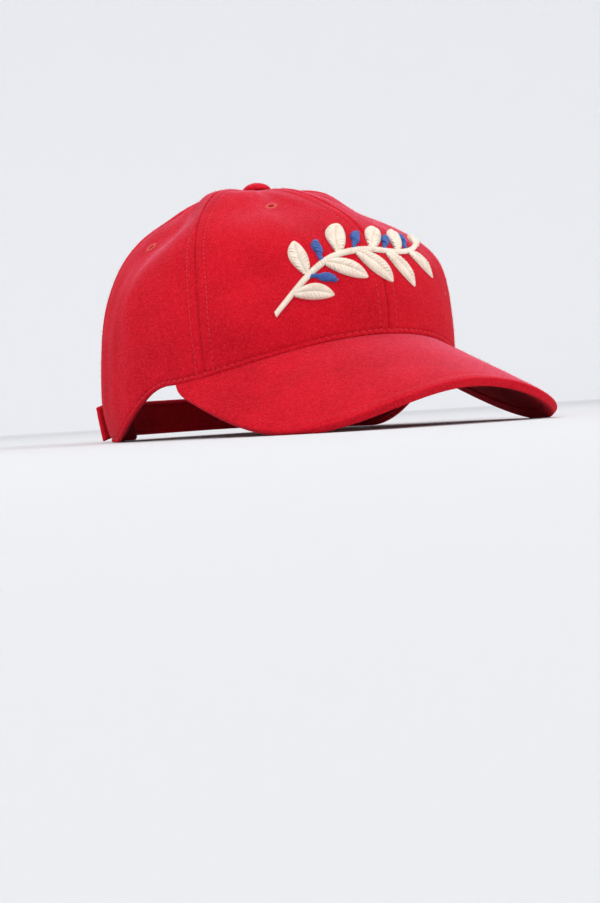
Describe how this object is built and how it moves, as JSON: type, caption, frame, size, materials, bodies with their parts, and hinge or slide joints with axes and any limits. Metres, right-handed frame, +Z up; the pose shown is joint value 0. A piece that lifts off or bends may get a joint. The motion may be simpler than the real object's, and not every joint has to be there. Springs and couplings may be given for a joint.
{
  "type": "six-panel baseball cap",
  "caption": "Red melton wool baseball cap with sewn crown gores, a covered top button, stitched eyelets, a strongly bent stiff peak and a cloth back strap with a free tail.",
  "frame": {"origin": "on the surface the cap stands on, under the middle of its box", "axes": "+Z up, -Y to the front, where the peak is, and -X to the wearer's right"},
  "size_m": [0.1738, 0.2606, 0.1282],
  "materials": {
    "melton_wool": "matt brushed wool with a soft sheen",
    "eyelet_thread": "matt thread",
    "seam_thread": "matt thread",
    "cream_thread": "satin stitch",
    "blue_thread": "satin stitch",
    "band_twill": "matt cotton twill",
    "slide_metal": "aged satin"
  },
  "bodies": {
    "root": {"front_panel_right": "melton_wool", "front_panel_left": "melton_wool", "side_panel_right": "melton_wool", "side_panel_left": "melton_wool", "back_panel_right": "melton_wool", "back_panel_left": "melton_wool", "eyelet_front_right": "eyelet_thread", "eyelet_front_left": "eyelet_thread", "eyelet_side_right": "eyelet_thread", "eyelet_side_left": "eyelet_thread", "eyelet_back_right": "eyelet_thread", "eyelet_back_left": "eyelet_thread", "top_button": "melton_wool", "peak_upper": "melton_wool", "peak_under": "melton_wool", "sweatband": "band_twill", "back_strap": "melton_wool", "strap_slide": "slide_metal"}
  },
  "joints": []
}
